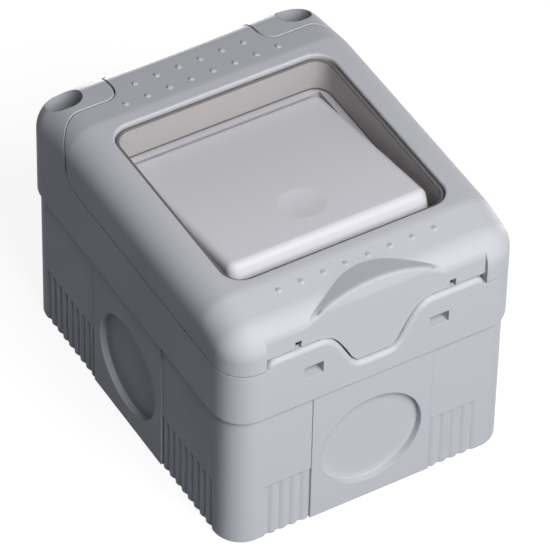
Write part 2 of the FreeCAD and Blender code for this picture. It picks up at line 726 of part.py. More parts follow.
def rocker():
    half = ROCKER_W / 2
    ceiling = ROCKER_TOP - ROCKER_WALL
    solid = rod_x(ROCKER_R, -half, half, 0, 0).common(slab(-ROCKER_SKIRT, ROCKER_TOP))
    corners = [e for e in solid.Edges if "Circle" in e.Curve.TypeId]
    solid = solid.makeFillet(ROCKER_CORNER_R, corners)
    rim = [e for e in solid.Edges if e.BoundBox.ZMin > ROCKER_TOP - 1e-3]
    solid = solid.makeFillet(ROCKER_EDGE_R, rim)
    inner_x = half - ROCKER_WALL
    hollow = rod_x(ROCKER_R - ROCKER_WALL, -inner_x, inner_x, 0, 0).common(slab(-ROCKER_R, ceiling))
    leg = Part.makeCylinder(LEG_R, ceiling + LEG_DROP, V(0, 0, -LEG_DROP))
    web = box(-ROCKER_WALL / 2, ROCKER_WALL / 2, -ROCKER_R / 2, ROCKER_R / 2, ROCKER_WALL / 2, ceiling)
    solid = fuse(solid.cut(hollow), [leg, web])
    bore = Part.makeCylinder(PLUNGER_R + PLUNGER_FIT, ROCKER_TOP - BORE_ROOF + LEG_DROP, V(0, 0, -LEG_DROP))
    pins = both_sides(rod_x(ROCKER_PIN_R + RUNNING_FIT, inner_x, half, 0, 0))
    dimple = Part.makeSphere(DIMPLE_R, V(0, DIMPLE_OFFSET, ROCKER_TOP + DIMPLE_R - DIMPLE_DEPTH))
    return tilt_rocker(solid.cut([bore, dimple] + pins))


def rocker_pins():
    inner = ROCKER_W / 2 - ROCKER_WALL
    pin = rod_x(ROCKER_PIN_R, inner, inner + ROCKER_PIN_LENGTH, PIVOT_Y, PIVOT_Z)
    return Part.makeCompound(both_sides(pin))


def plunger():
    ball_z = PLUNGER_END + PLUNGER_R
    rod = Part.makeCylinder(PLUNGER_R, PLUNGER_TOP - ball_z, V(0, 0, ball_z))
    return tilt_rocker(fuse(rod, [Part.makeSphere(PLUNGER_R, V(0, 0, ball_z))]))


def plunger_spring():
    """Coil of square wire between the plunger and the roof of its bore."""
    low = PLUNGER_TOP
    rise = ROCKER_TOP - BORE_ROOF - low - SPRING_WIRE
    count = SPRING_TURNS * SPRING_STEPS
    outer = PLUNGER_R - PLUNGER_FIT
    inner = outer - SPRING_WIRE

    def section(i):
        angle = 2 * math.pi * i / SPRING_STEPS
        z = low + rise * i / count
        ring = ((outer, z), (outer, z + SPRING_WIRE), (inner, z + SPRING_WIRE), (inner, z))
        return [V(r * math.cos(angle), r * math.sin(angle), h) for r, h in ring]

    faces = []
    for end in (section(0), section(count)):
        faces.append(Part.Face(Part.makePolygon(end + end[:1])))
    for i in range(count):
        a = section(i)
        b = section(i + 1)
        for k in range(4):
            n = (k + 1) % 4
            faces.append(Part.Face(Part.makePolygon([a[k], a[n], b[n], a[k]])))
            faces.append(Part.Face(Part.makePolygon([a[k], b[n], b[k], a[k]])))
    return tilt_rocker(Part.Solid(Part.Shell(faces)))


def contact_arm():
    points = ((0.0, 0.0), (ARM_HALF, ARM_RISE), (ARM_HALF, ARM_RISE + ARM_T), (0.0, ARM_T))
    half = prism_x(points, -ARM_W / 2, ARM_W / 2)
    reach = ARM_HALF - TIP_R - TIP_EDGE
    tips = [Part.makeCylinder(TIP_R, TIP_T, V(0, s * reach, ARM_RISE - TIP_T / 2)) for s in (-1, 1)]
    bead = rod_x(ARM_BEAD_R, -ARM_W / 2, ARM_W / 2, 0, 0)
    arm = fuse(half, [half.mirror(ORIGIN, Y_AXIS), bead] + tips)
    arm.translate(V(0, PIVOT_Y, ARM_PIVOT_Z))
    arm.rotate(V(0, PIVOT_Y, ARM_PIVOT_Z), X_AXIS, ARM_TILT)
    return arm


def seat_height():
    """Top of a fixed contact under the lowered end of the arm."""
    angle = math.radians(ARM_TILT)
    lowest = (ARM_RISE - TIP_T / 2) * math.cos(angle) - (ARM_HALF - TIP_EDGE) * math.sin(angle)
    return ARM_PIVOT_Z + lowest - TIP_GAP


def way_terminal(side):
    top = seat_height()
    y_tip = PIVOT_Y + side * (ARM_HALF - TIP_R - TIP_EDGE)
    y_out = PIVOT_Y + side * (INSERT_HALF - STRIP_COVER)
    y0, y1 = sorted((y_tip - side * TIP_R, y_out))
    y2, y3 = sorted((y_out - side * STRIP_T, y_out))
    half = STRIP_W / 2
    seat = Part.makeCylinder(TIP_R, TIP_T, V(0, y_tip, top - TIP_T))
    shelf = box(-half, half, y0, y1, top - TIP_T - STRIP_T, top - TIP_T)
    tail = box(-half, half, y2, y3, TERMINAL_Z - TERMINAL_TAIL, top - TIP_T)
    return fuse(shelf, [seat, tail]).cut(terminal_shanks())


def common_terminal():
    half = STRIP_W / 2
    x_out = INSERT_HALF - STRIP_COVER
    foot_y = STRIP_T * 2
    top = ARM_PIVOT_Z - ARM_BEAD_R - KNIFE_FIT
    knife = prism_x(
        (
            (PIVOT_Y - foot_y, PIT_FLOOR_Z),
            (PIVOT_Y + foot_y, PIT_FLOOR_Z),
            (PIVOT_Y + KNIFE_HALF, top),
            (PIVOT_Y - KNIFE_HALF, top),
        ),
        -half,
        half,
    )
    tail_low = TERMINAL_Z - TERMINAL_TAIL
    foot = box(-half, x_out, PIVOT_Y - foot_y, PIVOT_Y + foot_y, PIT_FLOOR_Z - STRIP_T, PIT_FLOOR_Z)
    tail = box(x_out - STRIP_T, x_out, PIVOT_Y - foot_y, PIVOT_Y + foot_y, tail_low, PIT_FLOOR_Z)
    return fuse(knife, [foot, tail]).cut(terminal_shanks())


def terminal_axes():
    """Outer face and outward direction of each terminal strip."""
    reach = INSERT_HALF - STRIP_COVER
    return [
        (V(0, PIVOT_Y - reach, TERMINAL_Z), V(0, -1, 0)),
        (V(0, PIVOT_Y + reach, TERMINAL_Z), V(0, 1, 0)),
        (V(reach, PIVOT_Y, TERMINAL_Z), V(1, 0, 0)),
    ]


def terminal_shanks():
    shanks = []
    for face, out in terminal_axes():
        shanks.append(Part.makeCylinder(TERMINAL_SCREW_R, STRIP_T, face - out * STRIP_T, out))
    return shanks


def switch_body():
    low = rounded_block(INSERT_HALF, INSERT_HALF, INSERT_R, INSERT_LOW_Z, STRAP_Z, PIVOT_Y)
    neck = rounded_block(NECK_HALF, NECK_HALF, INSERT_R, STRAP_Z, STRAP_TOP + NECK_RISE, PIVOT_Y)
    cuts = [box(-PIT_X, PIT_X, PIVOT_Y - PIT_Y, PIVOT_Y + PIT_Y, PIT_FLOOR_Z, TOP_Z)]
    cuts.extend([way_terminal(-1), way_terminal(1), common_terminal()])
    room = TERMINAL_HEAD_R + TERMINAL_ROOM
    for face, out in terminal_axes():
        cuts.append(Part.makeCylinder(room, STRIP_COVER + STRIP_T, face - out * STRIP_T, out))
    return fuse(low, [neck]).cut(cuts)


def terminal_screws():
    screws = []
    reach = TERMINAL_HEAD_R * 2
    half = TERMINAL_SLOT_W / 2
    for shank, (face, out) in zip(terminal_shanks(), terminal_axes()):
        head = Part.makeCylinder(TERMINAL_HEAD_R, TERMINAL_HEAD_T, face, out)
        slot_at = face + out * (TERMINAL_HEAD_T - TERMINAL_SLOT_DEPTH)
        slot = box(-reach, reach, -reach, reach, -half, half)
        slot.translate(slot_at + out * reach)
        screws.append(fuse(shank, [head]).cut(slot))
    return Part.makeCompound(screws)


def support_strap():
    half = STRAP_SCREW_SPAN + STRAP_MARGIN
    plate = rounded_block(STRAP_W / 2, half, STRAP_R, STRAP_Z, STRAP_TOP, PIVOT_Y)
    neck = NECK_HALF + NECK_GAP
    cuts = [rounded_block(neck, neck, INSERT_R + NECK_GAP, STRAP_Z, STRAP_TOP, PIVOT_Y)]
    cuts += [Part.makeCylinder(STRAP_SCREW_R, STRAP_T, V(0, y, STRAP_Z)) for y in strap_points()]
    return plate.cut(cuts)


def headed_screw(x, y, seat, radius, head_r, head_t, end_z):
    shank = Part.makeCylinder(radius, seat - end_z, V(x, y, end_z))
    head = Part.makeCylinder(head_r, head_t, V(x, y, seat))
    arm = head_r * 0.62
    width = head_r * 0.15
    low = seat + head_t / 2
    cross = [
        box(x - arm, x + arm, y - width, y + width, low, seat + head_t),
        box(x - width, x + width, y - arm, y + arm, low, seat + head_t),
    ]
    return fuse(head, [shank]).cut(cross)


def frame_screws():
    seat = DECK_Z + SCREW_SEAL_T
    end = PARTING_Z - SCREW_GRIP
    screws = []
    for x, y in screw_points():
        screws.append(headed_screw(x, y, seat, SCREW_R, SCREW_HEAD_R, SCREW_HEAD_T, end))
    return Part.makeCompound(screws)


def screw_seals():
    rings = []
    for x, y in screw_points():
        ring = Part.makeCylinder(SCREW_HEAD_R, SCREW_SEAL_T, V(x, y, DECK_Z))
        rings.append(ring.cut(Part.makeCylinder(SCREW_R, SCREW_SEAL_T, V(x, y, DECK_Z))))
    return Part.makeCompound(rings)


def strap_screws():
    end = STRAP_Z - STRAP_SCREW_GRIP
    screws = []
    for y in strap_points():
        screws.append(headed_screw(0, y, STRAP_TOP, STRAP_SCREW_R, STRAP_HEAD_R, STRAP_HEAD_T, end))
    return Part.makeCompound(screws)


def build():
    right_pin = hinge_pin()
    return {
        "back_box": back_box(),
        "box_gasket": gasket_ring(),
        "front_frame": front_frame(),
        "frame_screws": frame_screws(),
        "screw_seals": screw_seals(),
        "hinge_pin_right": right_pin,
        "hinge_pin_left": right_pin.mirror(ORIGIN, X_AXIS),
        "lid": lid(),
        "window_seal": window_seal(),
        "face_plate": face_plate(),
        "plate_collar": plate_collar(),
        "rocker": rocker(),
        "rocker_pins": rocker_pins(),
        "plunger": plunger(),
        "plunger_spring": plunger_spring(),
        "contact_arm": contact_arm(),
        "common_terminal": common_terminal(),
        "way_one_terminal": way_terminal(-1),
        "way_two_terminal": way_terminal(1),
        "terminal_screws": terminal_screws(),
        "switch_body": switch_body(),
        "support_strap": support_strap(),
        "strap_screws": strap_screws(),
    }


def main():
    os.makedirs("parts", exist_ok=True)
    for node, shape in build().items():
        shape.exportStep("parts/" + node + ".step")


main()
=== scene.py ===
"""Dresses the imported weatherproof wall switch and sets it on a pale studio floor."""

import logging
import math
from dataclasses import dataclass, field, replace
from enum import Enum

import bmesh
import bpy
from mathutils import Color, Matrix, Vector


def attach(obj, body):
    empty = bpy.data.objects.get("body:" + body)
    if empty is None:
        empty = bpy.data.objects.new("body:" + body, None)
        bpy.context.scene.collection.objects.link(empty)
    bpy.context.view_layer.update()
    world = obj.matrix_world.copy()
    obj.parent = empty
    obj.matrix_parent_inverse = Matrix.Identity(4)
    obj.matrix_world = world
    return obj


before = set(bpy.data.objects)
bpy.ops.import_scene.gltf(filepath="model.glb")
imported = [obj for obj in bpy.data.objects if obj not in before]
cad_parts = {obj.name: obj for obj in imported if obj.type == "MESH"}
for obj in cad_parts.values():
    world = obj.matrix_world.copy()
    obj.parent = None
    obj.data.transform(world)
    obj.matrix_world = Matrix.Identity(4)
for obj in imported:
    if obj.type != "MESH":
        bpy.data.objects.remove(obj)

LOG = logging.getLogger("switch_dress")
MM = 0.001
WHITE = (1.0, 1.0, 1.0, 1.0)
NOISE_MIDDLE = 0.5
GRAIN_PER_METRE = 1800.0
EDGE_RADIUS = 0.3 * MM
EDGE_SAMPLES = 6
SHARP_ANGLE = math.radians(35)
Rgb8 = tuple[int, int, int]
Rgba = tuple[float, float, float, float]


def linear(colour: Rgb8) -> Rgba:
    """Turns an 8-bit display colour into a scene-linear one.

    Args:
        colour: red, green and blue from 0 to 255.

    Returns:
        Linear red, green, blue and an alpha of 1.
    """
    display = Color([value / 255 for value in colour])
    return (*display.from_srgb_to_scene_linear(), 1.0)


def feed(
    tree: bpy.types.NodeTree,
    socket: bpy.types.NodeSocket,
    value: bpy.types.NodeSocket | float | Rgba,
) -> None:
    """Links an input to another socket, or sets it to a plain value.

    Args:
        tree: the nodes that hold the input.
        socket: the input.
        value: the socket to link, or the number or colour to set.
    """
    if isinstance(value, bpy.types.NodeSocket):
        tree.links.new(value, socket)
    else:
        socket.default_value = value


def mixed_colour(
    tree: bpy.types.NodeTree,
    factor: bpy.types.NodeSocket,
    first: bpy.types.NodeSocket | Rgba,
    second: bpy.types.NodeSocket | Rgba,
) -> bpy.types.NodeSocket:
    """Adds a node that mixes two colours.

    Args:
        tree: the nodes to add to.
        factor: 0 for the first colour and 1 for the second.
        first: a socket or a colour.
        second: a socket or a colour.

    Returns:
        The mixed colour's socket.
    """
    node = tree.nodes.new("ShaderNodeMix")
    node.data_type = "RGBA"
    for label, value in (("Factor", factor), ("A", first), ("B", second)):
        feed(tree, node.inputs[label], value)
    return node.outputs["Result"]


def placed(name: str, data: bpy.types.ID) -> bpy.types.Object:
    """Makes an object and puts it in the scene.

    Args:
        name: the object's name.
        data: its mesh, lamp or camera data.

    Returns:
        The new object.
    """
    made = bpy.data.objects.new(name, data)
    bpy.context.scene.collection.objects.link(made)
    return made


class Finish(Enum):
    """The finishes that the switch is made in."""

    HOUSING = "housing_grey"
    LID = "lid_grey"
    ROCKER = "rocker_grey"
    PLATE = "plate_grey"
    SLEEVE = "warm_sleeve"
    GASKET = "black_gasket"
    INSERT = "ivory_insert"
    PLATED = "plated_steel"
    BRASS = "plain_brass"


class Effect(Enum):
    """Shader node groups that several finishes share."""

    GRAIN = "mould_grain"
    HAZE = "handling_haze"
    LINES = "drawn_lines"
    EDGE = "soft_edge"
    ZONE = "along_zone"


class GroupMaker:
    """Builds the shared shader node groups, each of them once."""

    FLOW_SCALE: float = 0.12
    FLOW_WEIGHT: float = 0.6
    WIDE_SCALE: float = 0.35

    def __init__(self) -> None:
        """Starts with no group built."""
        self.made: dict[Effect, bpy.types.ShaderNodeTree] = {}

    def get(self, effect: Effect) -> bpy.types.ShaderNodeTree:
        """Returns the node group of an effect, building it on first use.

        Args:
            effect: the shared effect.

        Returns:
            The shader node group.
        """
        if effect not in self.made:
            builders = {
                Effect.GRAIN: self.grain,
                Effect.HAZE: self.haze,
                Effect.LINES: self.lines,
                Effect.EDGE: self.edge,
                Effect.ZONE: self.zone,
            }
            self.made[effect] = builders[effect]()
        return self.made[effect]

    @staticmethod
    def start(
        name: str, inputs: dict[str, float], outputs: list[str]
    ) -> bpy.types.ShaderNodeTree:
        """Makes an empty group with named sockets.

        Args:
            name: the group's name.
            inputs: value sockets with their defaults.
            outputs: names of the value outputs.

        Returns:
            The group, holding its input and output nodes.
        """
        tree = bpy.data.node_groups.new(name, "ShaderNodeTree")
        kind = "NodeSocketFloat"
        for label, default in inputs.items():
            socket = tree.interface.new_socket(name=label, in_out="INPUT", socket_type=kind)
            socket.default_value = default
        for label in outputs:
            tree.interface.new_socket(name=label, in_out="OUTPUT", socket_type=kind)
        tree.nodes.new("NodeGroupInput").name = "in"
        tree.nodes.new("NodeGroupOutput").name = "out"
        return tree

    @staticmethod
    def noise(tree: bpy.types.ShaderNodeTree, detail: float, roughness: float) -> bpy.types.Node:
        """Adds a noise texture that reads the object's own coordinates in metres.

        Args:
            tree: the group to add to.
            detail: octaves of the noise.
            roughness: weight of the finer octaves.

        Returns:
            The noise node.
        """
        coords = tree.nodes.new("ShaderNodeTexCoord")
        node = tree.nodes.new("ShaderNodeTexNoise")
        node.inputs["Detail"].default_value = detail
        node.inputs["Roughness"].default_value = roughness
        tree.links.new(coords.outputs["Object"], node.inputs["Vector"])
        return node

    @staticmethod
    def maths(
        tree: bpy.types.ShaderNodeTree,
        operation: str,
        first: bpy.types.NodeSocket | float,
        second: bpy.types.NodeSocket | float,
    ) -> bpy.types.NodeSocket:
        """Adds a maths node.

        Args:
            tree: the group to add to.
            operation: the operation's name.
            first: a socket or a number.
            second: a socket or a number.

        Returns:
            The node's output socket.
        """
        node = tree.nodes.new("ShaderNodeMath")
        node.operation = operation
        for socket, value in zip(node.inputs, (first, second)):
            feed(tree, socket, value)
        return node.outputs["Value"]

    def grain(self) -> bpy.types.ShaderNodeTree:
        """Fine spark-eroded grain of a mould.

        Returns:
            A group with the grain's height and a speckle value around 0.
        """
        inputs = {"Per Metre": GRAIN_PER_METRE, "Speckle": 0.6}
        tree = self.start(Effect.GRAIN.value, inputs, ["Height", "Speckle"])
        given = tree.nodes["in"].outputs
        pits = self.noise(tree, detail=3.0, roughness=0.6)
        tree.links.new(given["Per Metre"], pits.inputs["Scale"])
        flow = self.noise(tree, detail=2.0, roughness=0.5)
        flow_scale = self.maths(tree, "MULTIPLY", given["Per Metre"], self.FLOW_SCALE)
        tree.links.new(flow_scale, flow.inputs["Scale"])
        swell = self.maths(tree, "MULTIPLY", flow.outputs["Fac"], self.FLOW_WEIGHT)
        height = self.maths(tree, "ADD", pits.outputs["Fac"], swell)
        centred = self.maths(tree, "SUBTRACT", pits.outputs["Fac"], NOISE_MIDDLE)
        out = tree.nodes["out"].inputs
        tree.links.new(height, out["Height"])
        tree.links.new(self.maths(tree, "MULTIPLY", centred, given["Speckle"]), out["Speckle"])
        return tree

    def haze(self) -> bpy.types.ShaderNodeTree:
        """Broad uneven sheen that moulding and handling leave.

        Returns:
            A group with a roughness shift and a tint value, both around 0.
        """
        inputs = {"Per Metre": 60.0, "Amount": 0.1}
        tree = self.start(Effect.HAZE.value, inputs, ["Sheen", "Tint"])
        given = tree.nodes["in"].outputs
        cloud = self.noise(tree, detail=4.0, roughness=0.55)
        tree.links.new(given["Per Metre"], cloud.inputs["Scale"])
        wide = self.noise(tree, detail=1.0, roughness=0.5)
        wide_scale = self.maths(tree, "MULTIPLY", given["Per Metre"], self.WIDE_SCALE)
        tree.links.new(wide_scale, wide.inputs["Scale"])
        out = tree.nodes["out"].inputs
        for source, label in ((cloud, "Sheen"), (wide, "Tint")):
            centred = self.maths(tree, "SUBTRACT", source.outputs["Fac"], NOISE_MIDDLE)
            tree.links.new(self.maths(tree, "MULTIPLY", centred, given["Amount"]), out[label])
        return tree

    def lines(self) -> bpy.types.ShaderNodeTree:
        """Fine lines that drawing or turning leaves on metal.

        Returns:
            A group with the lines' height and a streak value around 0.
        """
        inputs = {"Per Metre": 900.0, "Stretch": 0.04}
        tree = self.start(Effect.LINES.value, inputs, ["Height", "Streak"])
        given = tree.nodes["in"].outputs
        streak = self.noise(tree, detail=4.0, roughness=0.6)
        tree.links.new(given["Per Metre"], streak.inputs["Scale"])
        squeeze = tree.nodes.new("ShaderNodeVectorMath")
        squeeze.operation = "MULTIPLY"
        factors = tree.nodes.new("ShaderNodeCombineXYZ")
        factors.inputs["X"].default_value = 1.0
        factors.inputs["Y"].default_value = 1.0
        tree.links.new(given["Stretch"], factors.inputs["Z"])
        coords = streak.inputs["Vector"].links[0].from_socket
        tree.links.new(coords, squeeze.inputs[0])
        tree.links.new(factors.outputs["Vector"], squeeze.inputs[1])
        tree.links.new(squeeze.outputs["Vector"], streak.inputs["Vector"])
        out = tree.nodes["out"].inputs
        tree.links.new(streak.outputs["Fac"], out["Height"])
        centred = self.maths(tree, "SUBTRACT", streak.outputs["Fac"], NOISE_MIDDLE)
        tree.links.new(centred, out["Streak"])
        return tree

    def edge(self) -> bpy.types.ShaderNodeTree:
        """Small rounding that moulding and stamping leave on every edge.

        Returns:
            A group with the softened normal.
        """
        tree = self.start(Effect.EDGE.value, {"Radius": EDGE_RADIUS}, [])
        tree.interface.new_socket(name="Normal", in_out="OUTPUT", socket_type="NodeSocketVector")
        rounding = tree.nodes.new("ShaderNodeBevel")
        rounding.samples = EDGE_SAMPLES
        tree.links.new(tree.nodes["in"].outputs["Radius"], rounding.inputs["Radius"])
        tree.links.new(rounding.outputs["Normal"], tree.nodes["out"].inputs["Normal"])
        return tree

    def zone(self) -> bpy.types.ShaderNodeTree:
        """Tells how far a point lies along a direction in the object's own coordinates.

        Returns:
            A group with a mask that rises from 0 to 1 between two distances.
        """
        tree = self.start(Effect.ZONE.value, {"Start": 0.0, "End": 1.0}, ["Mask"])
        tree.interface.new_socket(name="Along", in_out="INPUT", socket_type="NodeSocketVector")
        given = tree.nodes["in"].outputs
        coords = tree.nodes.new("ShaderNodeTexCoord")
        reach = tree.nodes.new("ShaderNodeVectorMath")
        reach.operation = "DOT_PRODUCT"
        tree.links.new(coords.outputs["Object"], reach.inputs[0])
        tree.links.new(given["Along"], reach.inputs[1])
        ramp = tree.nodes.new("ShaderNodeMapRange")
        ramp.interpolation_type = "SMOOTHSTEP"
        tree.links.new(reach.outputs["Value"], ramp.inputs["Value"])
        tree.links.new(given["Start"], ramp.inputs["From Min"])
        tree.links.new(given["End"], ramp.inputs["From Max"])
        tree.links.new(ramp.outputs["Result"], tree.nodes["out"].inputs["Mask"])
        return tree


GROUPS = GroupMaker()


@dataclass(frozen=True)
class Zone:
    """A part of a piece, past a distance along a direction, where its colour and edge rounding
    change; used for painted shade, painted light and a wider soft edge.

    Attributes:
        along: the direction, in the piece's own coordinates.
        start: metres along it where the change begins.
        end: metres along it where the change is complete.
        colour: the colour past the end.
        edge_radius: rounding of the edges past the end, in metres.
    """

    along: tuple[float, float, float]
    start: float
    end: float
    colour: Rgb8
    edge_radius: float = EDGE_RADIUS


@dataclass(frozen=True)
class Coating:
    """One finish of the switch, with its shared surface effects.

    Attributes:
        finish: which finish it is.
        colour: the main colour.
        shade: the darker colour that it is mottled with.
        roughness: mean roughness.
        specular: strength of the plain reflection.
        metallic: 1 for metal.
        effect: grain of a mould or lines of drawn metal.
        effect_per_metre: how fine that effect is.
        bump: strength of its relief.
        bump_depth: depth of its relief in metres.
        speckle: how much the grain mottles the colour.
        colour_share: mean share of the main colour.
        haze: how uneven sheen and colour are.
        edge_radius: rounding of the edges in metres.
        zones: parts of the piece where colour and edge rounding change, such as painted shade and
            painted light.
    """

    finish: Finish
    colour: Rgb8
    shade: Rgb8
    roughness: float
    specular: float
    metallic: float = 0.0
    effect: Effect = Effect.GRAIN
    effect_per_metre: float = GRAIN_PER_METRE
    bump: float = 0.12
    bump_depth: float = 0.04 * MM
    speckle: float = 0.6
    colour_share: float = 0.7
    haze: float = 0.12
    edge_radius: float = EDGE_RADIUS
    zones: tuple[Zone, ...] = ()

    def material(self) -> bpy.types.Material:
        """Builds the finish as a procedural material.

        Returns:
            The material, with its shader in the material itself.
        """
        made = bpy.data.materials.new(self.finish.value)
        made.use_nodes = True
        tree = made.node_tree
        shader = tree.nodes["Principled BSDF"]
        shader.inputs["Metallic"].default_value = self.metallic
        shader.inputs["Specular IOR Level"].default_value = self.specular
        surface = self.place(tree, self.effect)
        surface.inputs["Per Metre"].default_value = self.effect_per_metre
        haze = self.place(tree, Effect.HAZE)
        haze.inputs["Amount"].default_value = self.haze
        fleck = surface.outputs["Speckle" if self.effect is Effect.GRAIN else "Streak"]
        if self.effect is Effect.GRAIN:
            surface.inputs["Speckle"].default_value = self.speckle
        mottle = GroupMaker.maths(tree, "ADD", fleck, haze.outputs["Tint"])
        blend = GroupMaker.maths(tree, "ADD", mottle, self.colour_share)
        colour = mixed_colour(tree, blend, linear(self.shade), linear(self.colour))
        rough = GroupMaker.maths(tree, "ADD", haze.outputs["Sheen"], self.roughness)
        tree.links.new(rough, shader.inputs["Roughness"])
        bump = tree.nodes.new("ShaderNodeBump")
        bump.inputs["Strength"].default_value = self.bump
        bump.inputs["Distance"].default_value = self.bump_depth
        edge = self.place(tree, Effect.EDGE)
        edge.inputs["Radius"].default_value = self.edge_radius
        tree.links.new(edge.outputs["Normal"], bump.inputs["Normal"])
        tree.links.new(surface.outputs["Height"], bump.inputs["Height"])
        tree.links.new(bump.outputs["Normal"], shader.inputs["Normal"])
        for zone in self.zones:
            colour = self.change_zone(tree, zone, colour, edge.inputs["Radius"])
        tree.links.new(colour, shader.inputs["Base Color"])
        return made

    def change_zone(
        self,
        tree: bpy.types.ShaderNodeTree,
        zone: Zone,
        plain: bpy.types.NodeSocket,
        radius: bpy.types.NodeSocket,
    ) -> bpy.types.NodeSocket:
        """Gives a zone of a finish its own colour and edge radius.

        Args:
            tree: the material's nodes.
            zone: where and how the finish changes.
            plain: the colour outside the zone.
            radius: the socket that takes the edge radius.

        Returns:
            The colour inside and outside the zone.
        """
        reach = self.place(tree, Effect.ZONE)
        reach.inputs["Along"].default_value = zone.along
        reach.inputs["Start"].default_value = zone.start
        reach.inputs["End"].default_value = zone.end
        mask = reach.outputs["Mask"]
        extra = zone.edge_radius - self.edge_radius
        if extra:
            more = GroupMaker.maths(tree, "MULTIPLY", mask, extra)
            tree.links.new(GroupMaker.maths(tree, "ADD", more, self.edge_radius), radius)
        return mixed_colour(tree, mask, plain, linear(zone.colour))

    @staticmethod
    def place(tree: bpy.types.ShaderNodeTree, effect: Effect) -> bpy.types.Node:
        """Places a shared group in a material.

        Args:
            tree: the material's nodes.
            effect: the shared effect.

        Returns:
            The group node.
        """
        node = tree.nodes.new("ShaderNodeGroup")
        node.node_tree = GROUPS.get(effect)
        return node


# The lid's solid leaves the crest's front edge plain, so a wide soft edge shades it as rolled.
THUMB_CREST = Zone(
    along=(0, -1, 1),
    start=104.4 * MM,
    end=105.2 * MM,
    colour=(188, 189, 194),
    edge_radius=1.5 * MM,
)
# Painted shade: the sleeve's lip and foot are coloured darker to stand for the shadow in the
# narrow gaps that they lie in.
SLEEVE_LIP_PAINTED_SHADE = Zone(along=(0, 0, 1), start=63.15 * MM, end=63.45 * MM, colour=(110, 107, 105))
SLEEVE_FOOT_PAINTED_SHADE = Zone(along=(0, 0, -1), start=-55.9 * MM, end=-55.4 * MM, colour=(104, 102, 101))
# Painted light: the rocker is coloured a little lighter towards the thumb tab, where more lamp
# light falls.
ROCKER_PAINTED_LIGHT = Zone(along=(0, -1, 0), start=-18 * MM, end=24 * MM, colour=(220, 219, 225))

HOUSING = Coating(
    Finish.HOUSING, colour=(190, 191, 196), shade=(182, 184, 190), roughness=0.5, specular=0.18
)
PLATED = Coating(
    Finish.PLATED,
    colour=(198, 199, 202),
    shade=(168, 170, 174),
    roughness=0.3,
    specular=0.5,
    metallic=1.0,
    effect=Effect.LINES,
    effect_per_metre=2600.0,
    bump=0.15,
)
COATINGS: tuple[Coating, ...] = (
    HOUSING,
    replace(HOUSING, finish=Finish.LID, zones=(THUMB_CREST,)),
    Coating(
        Finish.ROCKER,
        colour=(210, 209, 214),
        shade=(203, 203, 208),
        roughness=0.42,
        specular=0.3,
        bump=0.08,
        # The rocker's zone is painted light towards the thumb tab.
        zones=(ROCKER_PAINTED_LIGHT,),
    ),
    Coating(
        Finish.PLATE,
        colour=(190, 189, 194),
        shade=(183, 182, 187),
        roughness=0.46,
        specular=0.2,
        bump=0.1,
    ),
    Coating(
        Finish.SLEEVE,
        colour=(174, 170, 170),
        shade=(165, 161, 161),
        roughness=0.62,
        specular=0.15,
        effect_per_metre=1200.0,
        # The sleeve's zones are painted shade at its lip and foot.
        zones=(SLEEVE_LIP_PAINTED_SHADE, SLEEVE_FOOT_PAINTED_SHADE),
    ),
    Coating(
        Finish.GASKET,
        colour=(44, 44, 46),
        shade=(32, 32, 34),
        roughness=0.7,
        specular=0.3,
        effect_per_metre=900.0,
        bump=0.2,
    ),
    Coating(
        Finish.INSERT,
        colour=(226, 222, 210),
        shade=(214, 209, 196),
        roughness=0.4,
        specular=0.4,
        bump=0.05,
    ),
    PLATED,
    replace(
        PLATED,
        finish=Finish.BRASS,
        colour=(208, 176, 106),
        shade=(178, 144, 80),
        effect_per_metre=2200.0,
    ),
)


class Wardrobe:
    """Holds one material for each finish."""

    def __init__(self, coatings: tuple[Coating, ...]) -> None:
        """Builds every material.

        Args:
            coatings: the finishes to build.
        """
        self.materials = {c.finish: c.material() for c in coatings}

    def dress(self, node: str, finish: Finish) -> None:
        """Gives a CAD node its finish.

        Args:
            node: the CAD node's name.
            finish: the finish to wear.
        """
        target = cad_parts[node]
        target.data.materials.clear()
        target.data.materials.append(self.materials[finish])
        LOG.info("%s wears %s", node, finish.value)


def turned_mesh(
    name: str, profile: list[tuple[float, float]], places: list[Matrix], sides: int
) -> bpy.types.Object:
    """Turns a profile about its own axis and repeats it at several places, as one piece.

    Args:
        name: the piece's name.
        profile: radius and height pairs in metres, the first and the last on the axis.
        places: where each copy stands.
        sides: facets round the axis.

    Returns:
        The new object, linked to the scene.
    """
    work = bmesh.new()
    angles = [math.tau * i / sides for i in range(sides)]
    poles = (profile[0][1], profile[-1][1])
    for place in places:
        ends = [work.verts.new(place @ Vector((0, 0, height))) for height in poles]
        rings = []
        for radius, height in profile[1:-1]:
            points = [Vector((radius * math.cos(a), radius * math.sin(a), height)) for a in angles]
            rings.append([work.verts.new(place @ point) for point in points])
        for here in range(sides):
            after = (here + 1) % sides
            work.faces.new((ends[0], rings[0][after], rings[0][here]))
            work.faces.new((ends[1], rings[-1][here], rings[-1][after]))
            for low, high in zip(rings, rings[1:]):
                work.faces.new((low[here], low[after], high[after], high[here]))
    bmesh.ops.recalc_face_normals(work, faces=work.faces)
    for face in work.faces:
        face.smooth = True
    mesh = bpy.data.meshes.new(name)
    work.to_mesh(mesh)
    work.free()
    mesh.set_sharp_from_angle(angle=SHARP_ANGLE)
    piece = placed(name, mesh)
    LOG.info("%s is built", name)
    return piece


@dataclass
class SubAssembly:
    """A group of CAD nodes that is dressed together."""

    finishes: dict[str, Finish] = field(default_factory=dict)

    def build(self, wardrobe: Wardrobe) -> None:
        """Adds modelled details; a plain sub-assembly has none.

        Args:
            wardrobe: the materials to take from.
        """

    def dress(self, wardrobe: Wardrobe) -> None:
        """Gives every node its finish.

        Args:
            wardrobe: the materials to take from.
        """
        for node, finish in self.finishes.items():
            wardrobe.dress(node, finish)


